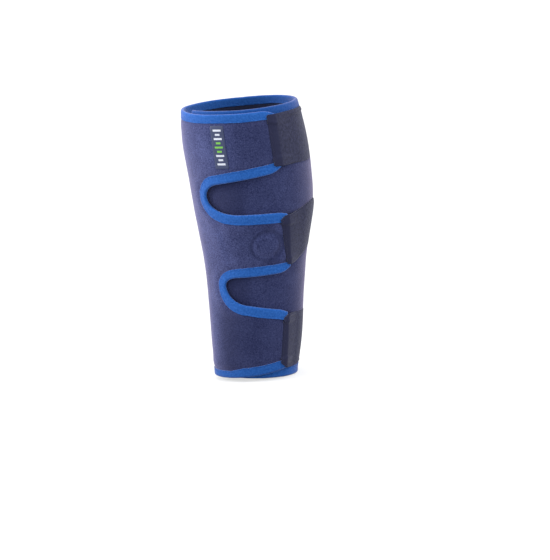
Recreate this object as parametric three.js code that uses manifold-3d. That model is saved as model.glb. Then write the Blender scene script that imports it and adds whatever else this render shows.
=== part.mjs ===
// Calf support: a neoprene panel wound once round the lower leg and on over itself as a flap.
// Two cut-outs split the flap into three tabs, bright tape binds the edges, and a piece of
// hook tape on each tab grips the loop face of the layer below.
//
// Every piece is a box that is bent onto the leg. A place on the wrap has three numbers:
//   turn    degrees round the leg, 0 at the fastening side (-Y) and 90 at the back of the calf (+X)
//   height  millimetres above the lower rim
//   depth   millimetres out from the inner face of the neoprene
// The turn keeps counting past 360, so the flap lies from about 300 to 398 degrees.

import * as THREE from 'three';
import { mergeVertices } from 'three/addons/utils/BufferGeometryUtils.js';
import Module from 'manifold-3d';

// Driving dimensions, in millimetres and degrees
const HEIGHT = 271;
const FULLEST_HEIGHT = 200;
const NEOPRENE_THICK = 3.2;
const TAPE_THICK = 0.6;
const TAPE_WIDTH = 10;
const HOOK_THICK = 1.0;
const HOOK_LENGTH = 70;
const LABEL_THICK = 0.4;
const CLEAR = 0.3;

// The leg's hollow, one row for each section. The centre is measured towards the back of the
// calf, from the centre of the fullest section.
const LEG_SECTIONS = [
  { height: 0, centre: -9.2, halfWidth: 36.5, halfDepth: 33.5 },
  { height: 30, centre: -6.5, halfWidth: 39.9, halfDepth: 36.0 },
  { height: 75, centre: -3.7, halfWidth: 42.8, halfDepth: 40.0 },
  { height: 120, centre: -1.2, halfWidth: 47.0, halfDepth: 45.5 },
  { height: 165, centre: 0.8, halfWidth: 54.2, halfDepth: 52.0 },
  { height: 200, centre: -0.3, halfWidth: 56.5, halfDepth: 54.5 },
  { height: 245, centre: -4.2, halfWidth: 56.5, halfDepth: 53.3 },
  { height: 272, centre: -6.2, halfWidth: 52.9, halfDepth: 50.0 },
];
const SHIN_TAPER = 0.06;

// Where the panel starts, climbs over its own start, and ends
const START_TURN = -61;
const CLIMB = { from: 232, to: 296 };
const END_LINE = [
  { height: 0, turn: 397 },
  { height: 64, turn: 396 },
  { height: 110, turn: 397.2 },
  { height: 166, turn: 390 },
  { height: 213, turn: 388.5 },
  { height: 272, turn: 391 },
];

// The upper rim stands a little higher at the back of the calf, and the lower rim dips there. The
// flap's edges leave the rims: its upper edge drops and curls down at the end, and its lower edge
// rises.
const UPPER_EDGE = { backRise: 1.6, drop: 2.8, from: 262, to: 318, curl: 4 };
const LOWER_EDGE = { dip: 1.9, rise: 9.8, from: 300, to: 398 };

// The cut-outs, one row each: the finished outline after binding. A nose is the round stretch
// next to the tip, in degrees, and a straight side goes on from there. Each tab corner curls in
// at the open end.
const CUTOUTS = [
  {
    name: 'upper', tipTurn: 310.2, tipHeight: 184.8, upperNose: 15, upperStart: 198, upperEnd: 208,
    upperCurl: 5, lowerNose: 35, lowerStart: 167.1, lowerEnd: 166.9, lowerCurl: 2,
  },
  {
    name: 'lower', tipTurn: 321, tipHeight: 94.2, upperNose: 13, upperStart: 102.4, upperEnd: 105.3,
    upperCurl: 5, lowerNose: 24, lowerStart: 74.5, lowerEnd: 66, lowerCurl: 2,
  },
];
const CURL_TURNS = 13;

// The hook tape on the tabs, one row each: where it starts at its two corners, its edges there,
// and how far each edge has bent upwards at the free end
const HOOK_TABS = [
  {
    name: 'upper', upperTurn: 382.6, lowerTurn: 381.3, lowerHeight: 213.5, upperHeight: 265,
    lowerRise: -0.7, upperRise: 0.3,
  },
  {
    name: 'middle', upperTurn: 382.1, lowerTurn: 392.7, lowerHeight: 113, upperHeight: 163.5,
    lowerRise: 15, upperRise: 8.9,
  },
  {
    name: 'lower', upperTurn: 390.5, lowerTurn: 389, lowerHeight: 7, upperHeight: 61.7,
    lowerRise: 2, upperRise: -2.4,
  },
];
const STEP_DOWN = { clearTurns: 3, turns: 22 };

// The raised round on the middle tab and the label on the upper tab
const ROUND = { turn: 370.4, height: 134.4, halfWidth: 13.6, halfHeight: 12, rise: 1.2, sunk: 1 };
const LABEL = { turn: 335.3, width: 14, lowerHeight: 214.5, upperHeight: 257.6 };

// Two folds of tape lie between the layers, each with its clearance
const LAYER_STEP = NEOPRENE_THICK + 2 * TAPE_THICK + 3 * CLEAR;
const FOLD = NEOPRENE_THICK / 2 + CLEAR + TAPE_THICK;
const HOOK_BASE = NEOPRENE_THICK + 2 * CLEAR + TAPE_THICK;

const { clamp, degToRad, lerp, smoothstep } = THREE.MathUtils;

// The hollow's centre, half width and half depth at any height, smooth through the sections
const legShape = new THREE.CubicInterpolant(
  LEG_SECTIONS.map((row) => row.height),
  LEG_SECTIONS.flatMap((row) => [row.centre, row.halfWidth, row.halfDepth]),
  3,
);

function endTurn(height) {
  const above = Math.max(1, END_LINE.findIndex((row) => row.height >= height));
  const [low, high] = [END_LINE[above - 1], END_LINE[above]];
  return lerp(low.turn, high.turn, (height - low.height) / (high.height - low.height));
}

// How far a tab's corner has curled in, from 0 to 1, at a turn near the tab's end
function cornerCurl(turn, lastTurn) {
  return (Math.max(0, turn - (lastTurn - CURL_TURNS)) / CURL_TURNS) ** 2;
}

// A point of an edge has a turn, the height that it would have if no corner curled, and its curl
function upperEdge(turn) {
  const back = UPPER_EDGE.backRise * Math.max(0, Math.sin(degToRad(turn)));
  const drop = UPPER_EDGE.drop * smoothstep(turn, UPPER_EDGE.from, UPPER_EDGE.to);
  const curl = -UPPER_EDGE.curl * cornerCurl(turn, endTurn(HEIGHT));
  return { turn, height: HEIGHT + back - drop, curl };
}

function lowerEdge(turn) {
  const along = Math.max(0, (turn - LOWER_EDGE.from) / (LOWER_EDGE.to - LOWER_EDGE.from));
  const dip = LOWER_EDGE.dip * (1 + Math.sin(degToRad(turn)));
  return { turn, height: LOWER_EDGE.rise * along ** 2 - dip, curl: 0 };
}

// A curl fades out over the width of the tape, so the tape's inner edge runs straight on
function curlAt(point, inset) {
  return point.curl * (1 - inset / TAPE_WIDTH);
}

// A point at a distance out from the leg
function legPoint(turn, height, out) {
  const inside = clamp(height, 0, HEIGHT);
  const [centre, halfWidth, halfDepth] = legShape.evaluate(inside);
  const sin = Math.sin(degToRad(turn));
  const cos = Math.cos(degToRad(turn));
  const along = new THREE.Vector2(
    halfWidth * cos,
    halfDepth * (sin + SHIN_TAPER * (sin * sin - cos * cos)),
  );
  const normal = new THREE.Vector2(along.y, -along.x).normalize();
  return new THREE.Vector3(
    centre + halfWidth * sin + normal.x * out,
    -halfDepth * cos * (1 + SHIN_TAPER * sin) + normal.y * out,
    height - FULLEST_HEIGHT,
  );
}

// A point of the wound panel, which climbs one layer where it passes over its own start
function wrapPoint(turn, height, depth) {
  return legPoint(turn, height, depth + LAYER_STEP * smoothstep(turn, CLIMB.from, CLIMB.to));
}

// Millimetres of cloth to one degree of turn
function degreeLength(turn, height) {
  return wrapPoint(turn - 0.5, height, FOLD).distanceTo(wrapPoint(turn + 0.5, height, FOLD));
}

// A closed shape without normals or texture coordinates, with each vertex moved by place
function bend(shape, place) {
  shape.deleteAttribute('normal');
  shape.deleteAttribute('uv');
  const geometry = mergeVertices(shape);
  const position = geometry.getAttribute('position');
  for (let i = 0; i < position.count; i++) {
    const point = place(position.getX(i), position.getY(i), position.getZ(i));
    position.setXYZ(i, point.x, point.y, point.z);
  }
  return geometry;
}

// A box with columns along the turn and rows up the height, bent by its shares from 0 to 1
function bentBox(columns, rows, place) {
  const box = new THREE.BoxGeometry(1, 1, 1, columns, rows, 1);
  return bend(box, (x, y, z) => place(x + 0.5, y + 0.5, z + 0.5));
}

const wasm = await Module();
wasm.setup();

function toSolid(geometry) {
  return new wasm.Manifold(new wasm.Mesh({
    numProp: 3,
    vertProperties: geometry.getAttribute('position').array,
    triVerts: new Uint32Array(geometry.index.array),
  }));
}

function toGeometry(solid) {
  const mesh = solid.getMesh();
  const geometry = new THREE.BufferGeometry();
  geometry.setAttribute('position', new THREE.BufferAttribute(mesh.vertProperties, 3));
  geometry.setIndex(new THREE.BufferAttribute(mesh.triVerts, 1));
  return geometry;
}

// A cut-out's finished edge, from its tip at 0 to the open end at 1. The first part is the nose.
const NOSE_SHARE = 0.45;

function cutoutEdge(cutout, side, along) {
  const nose = cutout[`${side}Nose`];
  const startHeight = cutout[`${side}Start`];
  const endHeight = cutout[`${side}End`];
  const startTurn = cutout.tipTurn + nose;
  const openTurn = endTurn(endHeight);
  const sideHeight = (turn) => lerp(startHeight, endHeight, (turn - startTurn) / (openTurn - startTurn));
  if (along < NOSE_SHARE) {
    const angle = (along / NOSE_SHARE) * (Math.PI / 2);
    const turn = cutout.tipTurn + nose * (1 - Math.cos(angle));
    const toTip = cutout.tipHeight - sideHeight(cutout.tipTurn);
    return { turn, height: sideHeight(turn) + toTip * (1 - Math.sin(angle)), curl: 0 };
  }
  const share = (along - NOSE_SHARE) / (1 - NOSE_SHARE);
  const turn = lerp(startTurn, openTurn, share);
  const outwards = side === 'upper' ? 1 : -1;
  const curl = outwards * cutout[`${side}Curl`] * cornerCurl(turn, openTurn);
  return { turn, height: sideHeight(turn), curl };
}

// Adds to each point of an edge the way into the cloth, which lies to the right of the path, as
// degrees and millimetres for one millimetre of cloth
function withInward(points) {
  return points.map((point, i) => {
    const before = points[Math.max(0, i - 1)];
    const after = points[Math.min(points.length - 1, i + 1)];
    const scale = degreeLength(point.turn, point.height);
    const way = new THREE.Vector2((after.turn - before.turn) * scale, after.height - before.height);
    way.normalize();
    return { ...point, inward: { turn: way.y / scale, height: -way.x } };
  });
}

// The place at an inset from an edge, into the cloth
function inFrom(point, inset) {
  return {
    turn: point.turn + inset * point.inward.turn,
    height: point.height + curlAt(point, inset) + inset * point.inward.height,
  };
}

// The whole edge of a cut-out: in along its upper side, round the tip, and out along its lower side
const CUTOUT_STEPS = 16;

function cutoutPath(cutout) {
  const points = [];
  for (let i = CUTOUT_STEPS; i >= 0; i--) {
    points.push(cutoutEdge(cutout, 'upper', i / CUTOUT_STEPS));
  }
  for (let i = 1; i <= CUTOUT_STEPS; i++) {
    points.push(cutoutEdge(cutout, 'lower', i / CUTOUT_STEPS));
  }
  return withInward(points);
}

// A rim's edge, with the cloth to the right of the path
const WRAP_COLUMNS = 64;

function rimPath(edge, reversed) {
  const lastTurn = endTurn(edge(END_LINE[0].turn).height);
  const points = [];
  for (let i = 0; i <= WRAP_COLUMNS; i++) {
    const share = reversed ? 1 - i / WRAP_COLUMNS : i / WRAP_COLUMNS;
    points.push(edge(lerp(START_TURN, lastTurn, share)));
  }
  return withInward(points);
}

// The tape's section across its width: a leg on the outer face, a half round over the edge and a
// leg on the inner face. The face is 0 next to the neoprene and 1 away from it.
const FOLD_STEPS = 5;

function foldSection(step, face) {
  const half = NEOPRENE_THICK / 2 + CLEAR + face * TAPE_THICK;
  const round = clamp((step - 1) / (FOLD_STEPS - 2), 0, 1);
  const angle = lerp(Math.PI / 2, -Math.PI / 2, round);
  const onLegEnd = step === 0 || step === FOLD_STEPS;
  return {
    inset: onLegEnd ? TAPE_WIDTH : FOLD - half * Math.cos(angle),
    depth: NEOPRENE_THICK / 2 + half * Math.sin(angle),
  };
}

function foldedTape(path) {
  const stations = path.length - 1;
  return bentBox(stations, FOLD_STEPS, (along, across, face) => {
    const { inset, depth } = foldSection(Math.round(across * FOLD_STEPS), face);
    const { turn, height } = inFrom(path[Math.round(along * stations)], inset);
    return wrapPoint(turn, height, depth);
  });
}

// The panel before cutting: its edges lie one fold inside the finished rims
const WRAP_ROWS = 17;

function plainPanel() {
  return bentBox(WRAP_COLUMNS, WRAP_ROWS, (along, up, face) => {
    const level = lerp(0, HEIGHT, up);
    const turn = lerp(START_TURN, endTurn(level), along);
    const [lower, upper] = [lowerEdge(turn), upperEdge(turn)];
    const lowerHeight = lower.height + curlAt(lower, FOLD) + FOLD;
    const upperHeight = upper.height + curlAt(upper, FOLD) - FOLD;
    return wrapPoint(turn, lerp(lowerHeight, upperHeight, up), face * NEOPRENE_THICK);
  });
}

// The piece that comes out of the flap for a cut-out: the finished outline, one fold larger, and
// on past the open end. It stays clear of the layer below.
const CUTTER_ROWS = 2;
const CUTTER_BELOW = LAYER_STEP - NEOPRENE_THICK - 2 * CLEAR;
const CUTTER_ABOVE = 3;

function cutter(cutout) {
  const outline = cutoutPath(cutout).map((point) => inFrom(point, FOLD));
  const pairs = [];
  for (let i = 1; i <= CUTOUT_STEPS; i++) {
    pairs.push({ upper: outline[CUTOUT_STEPS - i], lower: outline[CUTOUT_STEPS + i] });
  }
  const tipTurn = outline[CUTOUT_STEPS].turn;
  const atTurn = (pair, move) => ({
    upper: { turn: move(pair.upper.turn), height: pair.upper.height },
    lower: { turn: move(pair.lower.turn), height: pair.lower.height },
  });
  pairs.unshift(atTurn(pairs[0], () => tipTurn));
  pairs.push(atTurn(pairs.at(-1), (turn) => turn + CURL_TURNS));
  const columns = pairs.length - 1;
  return bentBox(columns, CUTTER_ROWS, (along, up, face) => {
    const { upper, lower } = pairs[Math.round(along * columns)];
    return wrapPoint(
      lerp(lower.turn, upper.turn, up),
      lerp(lower.height, upper.height, up),
      lerp(-CUTTER_BELOW, NEOPRENE_THICK + CUTTER_ABOVE, face),
    );
  });
}

// The raised round, sunk a little into the neoprene that it is fused with. Its unit shape has a
// sloping side and is stretched to the oval.
const ROUND_SIDES = 24;
const ROUND_TOP_SHARE = 0.84;

function raisedRound() {
  const shape = new THREE.CylinderGeometry(ROUND_TOP_SHARE, 1, 1, ROUND_SIDES);
  return bend(shape, (x, y, z) => wrapPoint(
    ROUND.turn + (x * ROUND.halfWidth) / degreeLength(ROUND.turn, ROUND.height),
    ROUND.height - z * ROUND.halfHeight,
    NEOPRENE_THICK + (y > 0 ? ROUND.rise : -ROUND.sunk),
  ));
}

function neopreneWrap() {
  let solid = toSolid(plainPanel());
  for (const cutout of CUTOUTS) {
    solid = solid.subtract(toSolid(cutter(cutout)));
  }
  return toGeometry(solid.add(toSolid(raisedRound())));
}

// Hook tape: it starts on the tab, runs nearly straight from the tab's end down to the layer below
// and lies on that
const HOOK_COLUMNS = 18;
const HOOK_ROWS = 4;
const HOOK_ROUNDING = 0.1;

function hookTab(tab) {
  return bentBox(HOOK_COLUMNS, HOOK_ROWS, (along, up, face) => {
    const bent = lerp(tab.lowerRise, tab.upperRise, up) * smoothstep(along, 0, 1);
    const height = lerp(tab.lowerHeight, tab.upperHeight, up) + bent;
    const first = lerp(tab.lowerTurn, tab.upperTurn, up);
    const reach = HOOK_LENGTH / degreeLength(first, height);
    const rounded = 1 - HOOK_ROUNDING * Math.abs(2 * up - 1) ** 4;
    const turn = first + reach * rounded * along;
    const edge = endTurn(height) + STEP_DOWN.clearTurns;
    const left = 1 - clamp((turn - edge) / STEP_DOWN.turns, 0, 1);
    return legPoint(turn, height, LAYER_STEP * left ** 2 + HOOK_BASE + face * HOOK_THICK);
  });
}

const LABEL_COLUMNS = 4;
const LABEL_ROWS = 6;

function tabLabel() {
  return bentBox(LABEL_COLUMNS, LABEL_ROWS, (along, up, face) => {
    const height = lerp(LABEL.lowerHeight, LABEL.upperHeight, up);
    const reach = LABEL.width / degreeLength(LABEL.turn, height);
    const depth = NEOPRENE_THICK + CLEAR + face * LABEL_THICK;
    return wrapPoint(LABEL.turn + (along - 0.5) * reach, height, depth);
  });
}

// Finishes
const neoprene = new THREE.MeshStandardMaterial({ color: 0x363d64, roughness: 0.95, metalness: 0 });
const bindingTape = new THREE.MeshStandardMaterial({ color: 0x2c5fb4, roughness: 0.8, metalness: 0 });
const hookTape = new THREE.MeshStandardMaterial({ color: 0x3a3c4c, roughness: 0.85, metalness: 0 });
const labelFilm = new THREE.MeshStandardMaterial({ color: 0x4b5577, roughness: 0.45, metalness: 0 });

const calfSupport = new THREE.Group();

function addPiece(name, geometry, material) {
  geometry.computeVertexNormals();
  const mesh = new THREE.Mesh(geometry, material);
  mesh.name = name;
  calfSupport.add(mesh);
}

addPiece('neoprene_wrap', neopreneWrap(), neoprene);
addPiece('upper_rim_binding', foldedTape(rimPath(upperEdge, false)), bindingTape);
addPiece('lower_rim_binding', foldedTape(rimPath(lowerEdge, true)), bindingTape);
for (const cutout of CUTOUTS) {
  addPiece(`${cutout.name}_cutout_binding`, foldedTape(cutoutPath(cutout)), bindingTape);
}
for (const tab of HOOK_TABS) {
  addPiece(`${tab.name}_hook_tab`, hookTab(tab), hookTape);
}
addPiece('tab_label', tabLabel(), labelFilm);

export default calfSupport;
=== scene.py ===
# %% [markdown]
# # A wrap-round calf support
# This lesson dresses a calf support for the camera. The real thing is one navy neoprene panel that is
# wound round the lower leg and on over itself. Bright blue tape binds its edges, and three tabs of
# charcoal hook tape close it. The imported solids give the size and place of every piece, so they are
# loaded first, and everything that follows is made around them in the same frame.

import math

import bpy
import numpy as np
from mathutils import Matrix, Vector, noise


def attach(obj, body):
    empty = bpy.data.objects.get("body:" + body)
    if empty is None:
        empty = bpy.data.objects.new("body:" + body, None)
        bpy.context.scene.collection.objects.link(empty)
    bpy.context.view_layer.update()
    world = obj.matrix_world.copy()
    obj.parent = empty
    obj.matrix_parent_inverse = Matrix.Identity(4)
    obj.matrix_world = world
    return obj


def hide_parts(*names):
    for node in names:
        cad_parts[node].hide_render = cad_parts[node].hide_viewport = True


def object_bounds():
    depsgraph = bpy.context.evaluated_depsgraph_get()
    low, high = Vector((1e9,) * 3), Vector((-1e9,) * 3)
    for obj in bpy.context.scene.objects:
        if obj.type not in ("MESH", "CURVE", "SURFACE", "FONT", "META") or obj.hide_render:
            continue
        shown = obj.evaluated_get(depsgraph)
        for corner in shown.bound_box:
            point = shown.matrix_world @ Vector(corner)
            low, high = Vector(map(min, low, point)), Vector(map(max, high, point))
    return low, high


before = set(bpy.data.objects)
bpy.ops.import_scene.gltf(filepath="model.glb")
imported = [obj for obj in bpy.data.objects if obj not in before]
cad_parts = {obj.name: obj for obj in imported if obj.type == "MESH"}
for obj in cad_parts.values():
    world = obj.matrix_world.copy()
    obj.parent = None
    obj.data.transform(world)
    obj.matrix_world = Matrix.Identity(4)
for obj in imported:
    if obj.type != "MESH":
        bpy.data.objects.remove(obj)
solid_low, solid_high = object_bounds()
print("solids:", ", ".join(sorted(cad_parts)))
print("solid box in mm:", [round(1000 * side, 1) for side in solid_high - solid_low])

# %% [markdown]
# ## The leg that it is wound on
# Cloth that is worn takes its form from what it grips. The leg itself isn't built, but its section is
# an oval that swells towards the calf, and eight rows of a table are enough to draw it. A curve through
# the rows gives every height between them. The same table drives the solids, so the two agree.

# %% The hollow, from a short table
MM = 0.001
HEIGHT = 271.0
FULLEST_HEIGHT = 200.0
SHIN_TAPER = 0.06
LEG_SECTIONS = {
    "height": (0, 30, 75, 120, 165, 200, 245, 272),
    "centre": (-9.2, -6.5, -3.7, -1.2, 0.8, -0.3, -4.2, -6.2),
    "half_width": (36.5, 39.9, 42.8, 47.0, 54.2, 56.5, 56.5, 52.9),
    "half_depth": (33.5, 36.0, 40.0, 45.5, 52.0, 54.5, 53.3, 50.0),
}


def curve_through(x, xs, ys):
    """A smooth curve through a few points, whose slope at each comes from its neighbours."""
    xs = np.asarray(xs, float)
    ys = np.asarray(ys, float)
    slopes = np.gradient(ys, xs)
    x = np.clip(x, xs[0], xs[-1])
    i = np.clip(np.searchsorted(xs, x) - 1, 0, len(xs) - 2)
    step = xs[i + 1] - xs[i]
    t = (x - xs[i]) / step
    level = ys[i] * (1 + 2 * t) * (1 - t) ** 2 + ys[i + 1] * t * t * (3 - 2 * t)
    return level + step * t * (1 - t) * (slopes[i] * (1 - t) - slopes[i + 1] * t)


def leg_column(name, height):
    return curve_through(height, LEG_SECTIONS["height"], LEG_SECTIONS[name])


def leg_point(turn, height, out):
    """Points in metres, from degrees round the leg and millimetres up it and out from it."""
    half_width = leg_column("half_width", height)
    half_depth = leg_column("half_depth", height)
    sin = np.sin(np.radians(turn))
    cos = np.cos(np.radians(turn))
    along_x = half_width * cos
    along_y = half_depth * (sin + SHIN_TAPER * (sin * sin - cos * cos))
    length = np.hypot(along_x, along_y)
    x = leg_column("centre", height) + half_width * sin + out * along_y / length
    y = -half_depth * cos * (1 + SHIN_TAPER * sin) - out * along_x / length
    return np.stack([x, y, height - FULLEST_HEIGHT + 0 * x], axis=-1) * MM


once_round = np.arange(0, 361.0)
ring = leg_point(once_round, np.full_like(once_round, FULLEST_HEIGHT), 0)
girth = np.linalg.norm(np.diff(ring, axis=0), axis=1).sum()
print("girth of the calf at its fullest, in mm:", round(girth / MM))

# %% [markdown]
# ## How the panel winds
# The panel starts under the flap, goes once round the leg and climbs over its own start. A place on it
# has a turn in degrees, which keeps counting past 360, a height, and a depth out from the inner face of
# the neoprene. With those three numbers a flat piece can be laid on the leg by moving its vertices, so
# no bend tool is needed, and the cloth keeps its cut size.

# %% From the cutting table to the leg
NEOPRENE_THICK = 3.2
TAPE_THICK = 0.6
TAPE_WIDTH = 10.0
CLEAR = 0.3
LAYER_STEP = NEOPRENE_THICK + 2 * TAPE_THICK + 3 * CLEAR
FOLD = NEOPRENE_THICK / 2 + CLEAR + TAPE_THICK
START_TURN = -61.0
CLIMB_FROM, CLIMB_TO = 232.0, 296.0


def smooth_step(x, low, high):
    t = np.clip((x - low) / (high - low), 0, 1)
    return t * t * (3 - 2 * t)


def hill(x, rise, fall):
    """Climbs from 0 to 1 between two places, and comes down again between two others."""
    return smooth_step(x, *rise) * (1 - smooth_step(x, *fall))


def wrap_point(turn, height, depth):
    """A point of the wound panel, which climbs one layer where it passes over its own start."""
    return leg_point(turn, height, depth + LAYER_STEP * smooth_step(turn, CLIMB_FROM, CLIMB_TO))


def degree_length(turn, height):
    """Millimetres of cloth to one degree of turn."""
    reach = wrap_point(turn + 0.5, height, FOLD) - wrap_point(turn - 0.5, height, FOLD)
    return np.linalg.norm(reach, axis=-1) / MM


flap_turns = np.arange(300.0, 398.0)
flap_steps = degree_length(flap_turns, np.full_like(flap_turns, FULLEST_HEIGHT))
print("length of the flap, in mm:", round(flap_steps.sum()))

# %% [markdown]
# ## The edges of the cut
# The panel isn't a rectangle. Its end runs down the tabs in a slightly crooked line, the flap's upper
# edge drops below the rim under it, its lower edge rises, and the corners of the tabs curl in where the
# tape was pulled tight. Each of these is a small formula of the turn.

# %% Rims and the end of the flap
END_LINE = {
    "height": (0, 64, 110, 166, 213, 272),
    "turn": (397, 396, 397.2, 390, 388.5, 391),
}
RIM_STATIONS = 1200
CURL_TURNS = 13.0
BACK_RISE = 1.6
UPPER_DROP, UPPER_DROP_FROM, UPPER_DROP_TO, UPPER_CURL = 2.8, 262.0, 318.0, 4.0
LOWER_DIP = 1.9
LOWER_RISE, LOWER_RISE_FROM, LOWER_RISE_TO = 9.8, 300.0, 398.0


def end_turn(height):
    return np.interp(height, END_LINE["height"], END_LINE["turn"])


def corner_curl(turn, last_turn):
    """How far a tab's corner has curled in, from 0 to 1, at a turn near the tab's end."""
    return (np.maximum(0, turn - (last_turn - CURL_TURNS)) / CURL_TURNS) ** 2


def upper_edge(turn):
    """The upper rim's height before its corner curls, and the curl."""
    back = BACK_RISE * np.maximum(0, np.sin(np.radians(turn)))
    drop = UPPER_DROP * smooth_step(turn, UPPER_DROP_FROM, UPPER_DROP_TO)
    return HEIGHT + back - drop, -UPPER_CURL * corner_curl(turn, end_turn(HEIGHT))


def lower_edge(turn):
    along = np.maximum(0, (turn - LOWER_RISE_FROM) / (LOWER_RISE_TO - LOWER_RISE_FROM))
    return LOWER_RISE * along**2 - LOWER_DIP * (1 + np.sin(np.radians(turn)))


upper_turns = np.linspace(START_TURN, end_turn(HEIGHT), RIM_STATIONS)
lower_turns = np.linspace(end_turn(0), START_TURN, RIM_STATIONS)
for name, level in (("upper", upper_edge(upper_turns)[0]), ("lower", lower_edge(lower_turns))):
    print(name, "rim from", level.min().round(1), "to", level.max().round(1), "mm")

# %% [markdown]
# ## The two cut-outs
# Each cut-out is a finger-shaped hole that opens at the end of the flap. Two straight sides run in from
# the end, and a quarter of an ellipse bends each of them round to the tip. The upper and the lower
# quarter have their own lengths, which is closer to the real cut than one arc would be.

# %% Finished outlines of the cut-outs
NOSE_STATIONS, SIDE_STATIONS = 80, 121
CUTOUTS = {
    "upper": {
        "tip": (310.2, 184.8),
        "upper": {"nose": 15, "start": 198, "end": 208, "curl": 5},
        "lower": {"nose": 35, "start": 167.1, "end": 166.9, "curl": -2},
    },
    "lower": {
        "tip": (321, 94.2),
        "upper": {"nose": 13, "start": 102.4, "end": 105.3, "curl": 5},
        "lower": {"nose": 24, "start": 74.5, "end": 66, "curl": -2},
    },
}


def cutout_side(tip, side):
    """Turn, height and curl along one side of a cut-out, from its tip to the open end."""
    tip_turn, tip_height = tip
    start_turn = tip_turn + side["nose"]
    last_turn = end_turn(side["end"])
    slope = (side["end"] - side["start"]) / (last_turn - start_turn)
    angle = np.linspace(0, math.pi / 2, NOSE_STATIONS)
    nose = tip_turn + side["nose"] * (1 - np.cos(angle))
    turn = np.concatenate([nose, np.linspace(start_turn, last_turn, SIDE_STATIONS)[1:]])
    straight = side["start"] + slope * (turn - start_turn)
    to_tip = np.zeros(len(turn))
    to_tip[: len(nose)] = (tip_height - straight[0]) * (1 - np.sin(angle))
    return turn, straight + to_tip, side["curl"] * corner_curl(turn, last_turn)


for name, cutout in CUTOUTS.items():
    sides = [cutout_side(cutout["tip"], cutout[side]) for side in ("upper", "lower")]
    cutout["outline"] = [
        np.concatenate([inwards[::-1], outwards[1:]]) for inwards, outwards in zip(*sides)
    ]
    turn, height = cutout["outline"][:2]
    tall = round(height.max() - height.min())
    print(name, "cut-out is", tall, "mm high, with its tip at", turn.min(), "degrees")

# %% [markdown]
# ## Paths for the tape
# Tape follows an edge, so each edge is turned into a path with even steps of cloth. A path also knows
# the way into the cloth and how wide the tape lies there: it is drawn narrow round the noses of the
# cut-outs and along the tight lower rim.

# %% Even steps along each edge
PATH_STEP = 1.25
UPPER_RIM_TAPE = 8.6
NOSE_NARROWS, NOSE_REACH = 2.2, 14.0
LOWER_RIM_TAPE = {"turn": (200, 290, 322, 342), "width": (9.0, 7.4, 7.4, 9.8)}


def bell(x, middle, half_width):
    return np.exp(-(((x - middle) / half_width) ** 2))


def even_path(turn, height, curl, width):
    """An edge at even steps, with the way into the cloth, which lies to the right of it."""
    scale = degree_length(turn, height)
    run = np.hypot(np.diff(turn) * (scale[1:] + scale[:-1]) / 2, np.diff(height))
    length = np.concatenate([[0], np.cumsum(run)])
    at = np.linspace(0, length[-1], int(round(length[-1] / PATH_STEP)) + 1)
    path = {"at": at}
    for name, values in (("turn", turn), ("height", height), ("curl", curl), ("width", width)):
        path[name] = np.interp(at, length, values)
    path["scale"] = degree_length(path["turn"], path["height"])
    way = np.stack([np.gradient(path["turn"]) * path["scale"], np.gradient(path["height"])])
    way /= np.hypot(*way)
    path["in_turn"], path["in_height"] = way[1], -way[0]
    return path


def in_from(path, at, inset):
    """Turn and height at an inset into the cloth. A curl fades out over the width of the tape."""
    here = {name: np.interp(at, path["at"], values) for name, values in path.items()}
    curl = here["curl"] * np.maximum(0, 1 - inset / TAPE_WIDTH)
    turn = here["turn"] + inset * here["in_turn"] / here["scale"]
    return turn, here["height"] + curl + inset * here["in_height"]


upper_width = np.full_like(upper_turns, UPPER_RIM_TAPE)
lower_width = np.interp(lower_turns, LOWER_RIM_TAPE["turn"], LOWER_RIM_TAPE["width"])
no_curl = np.zeros_like(lower_turns)
EDGES = {
    "upper_rim": even_path(upper_turns, *upper_edge(upper_turns), upper_width),
    "lower_rim": even_path(lower_turns, lower_edge(lower_turns), no_curl, lower_width),
}
for name, cutout in CUTOUTS.items():
    turn, height, curl = cutout["outline"]
    from_tip = np.hypot(turn - cutout["tip"][0], height - cutout["tip"][1])
    width = TAPE_WIDTH - NOSE_NARROWS * bell(from_tip, 0, NOSE_REACH)
    EDGES[name + "_cutout"] = even_path(turn, height, curl, width)
for name, path in EDGES.items():
    narrowest = path["width"].min().round(1)
    print(name, "is", round(path["at"][-1]), "mm long, with tape", narrowest, "mm wide or more")

# %% [markdown]
# ## How far a place is from a bound edge
# Neoprene is soft: where tape is sewn round its edge it is squeezed flat, and just beside the tape it
# swells out again. To shape that, each place on the panel has to know how far it lies from the nearest
# bound edge. The distance also says which faces fall into a cut-out.

# %% Distance to an edge
CUT_CURL = 1 - FOLD / TAPE_WIDTH
FLAP_FROM = 290.0
AT_A_TIME = 4000


def edge_offset(turn, height, path):
    """Each place's nearest station of an edge, and its inset, by distance and straight in."""
    cut_turn, cut_height = in_from(path, path["at"], FOLD)
    nearest = np.empty(len(turn), int)
    for first in range(0, len(turn), AT_A_TIME):
        part = slice(first, first + AT_A_TIME)
        across = (turn[part, None] - cut_turn) * path["scale"]
        nearest[part] = np.argmin(across**2 + (height[part, None] - cut_height) ** 2, axis=1)
    across = (turn - cut_turn[nearest]) * path["scale"][nearest]
    rise = height - cut_height[nearest]
    into = across * path["in_turn"][nearest] + rise * path["in_height"][nearest]
    return nearest, FOLD + np.hypot(across, rise) * np.sign(into), FOLD + into


def bound_distance(turn, height):
    """Millimetres from the nearest bound edge, below 0 inside a cut-out."""
    upper, curl = upper_edge(turn)
    distance = np.minimum(upper + CUT_CURL * curl - height, height - lower_edge(turn))
    on_flap = turn > FLAP_FROM
    for name in CUTOUTS:
        to_cutout = edge_offset(turn[on_flap], height[on_flap], EDGES[name + "_cutout"])[1]
        distance[on_flap] = np.minimum(distance[on_flap], to_cutout)
    return distance


probe = bound_distance(np.array([370.4, 350.0]), np.array([134.4, 188.0]))
print("mm from a bound edge, on the middle tab and in the upper cut-out:", probe.round(1))

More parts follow.
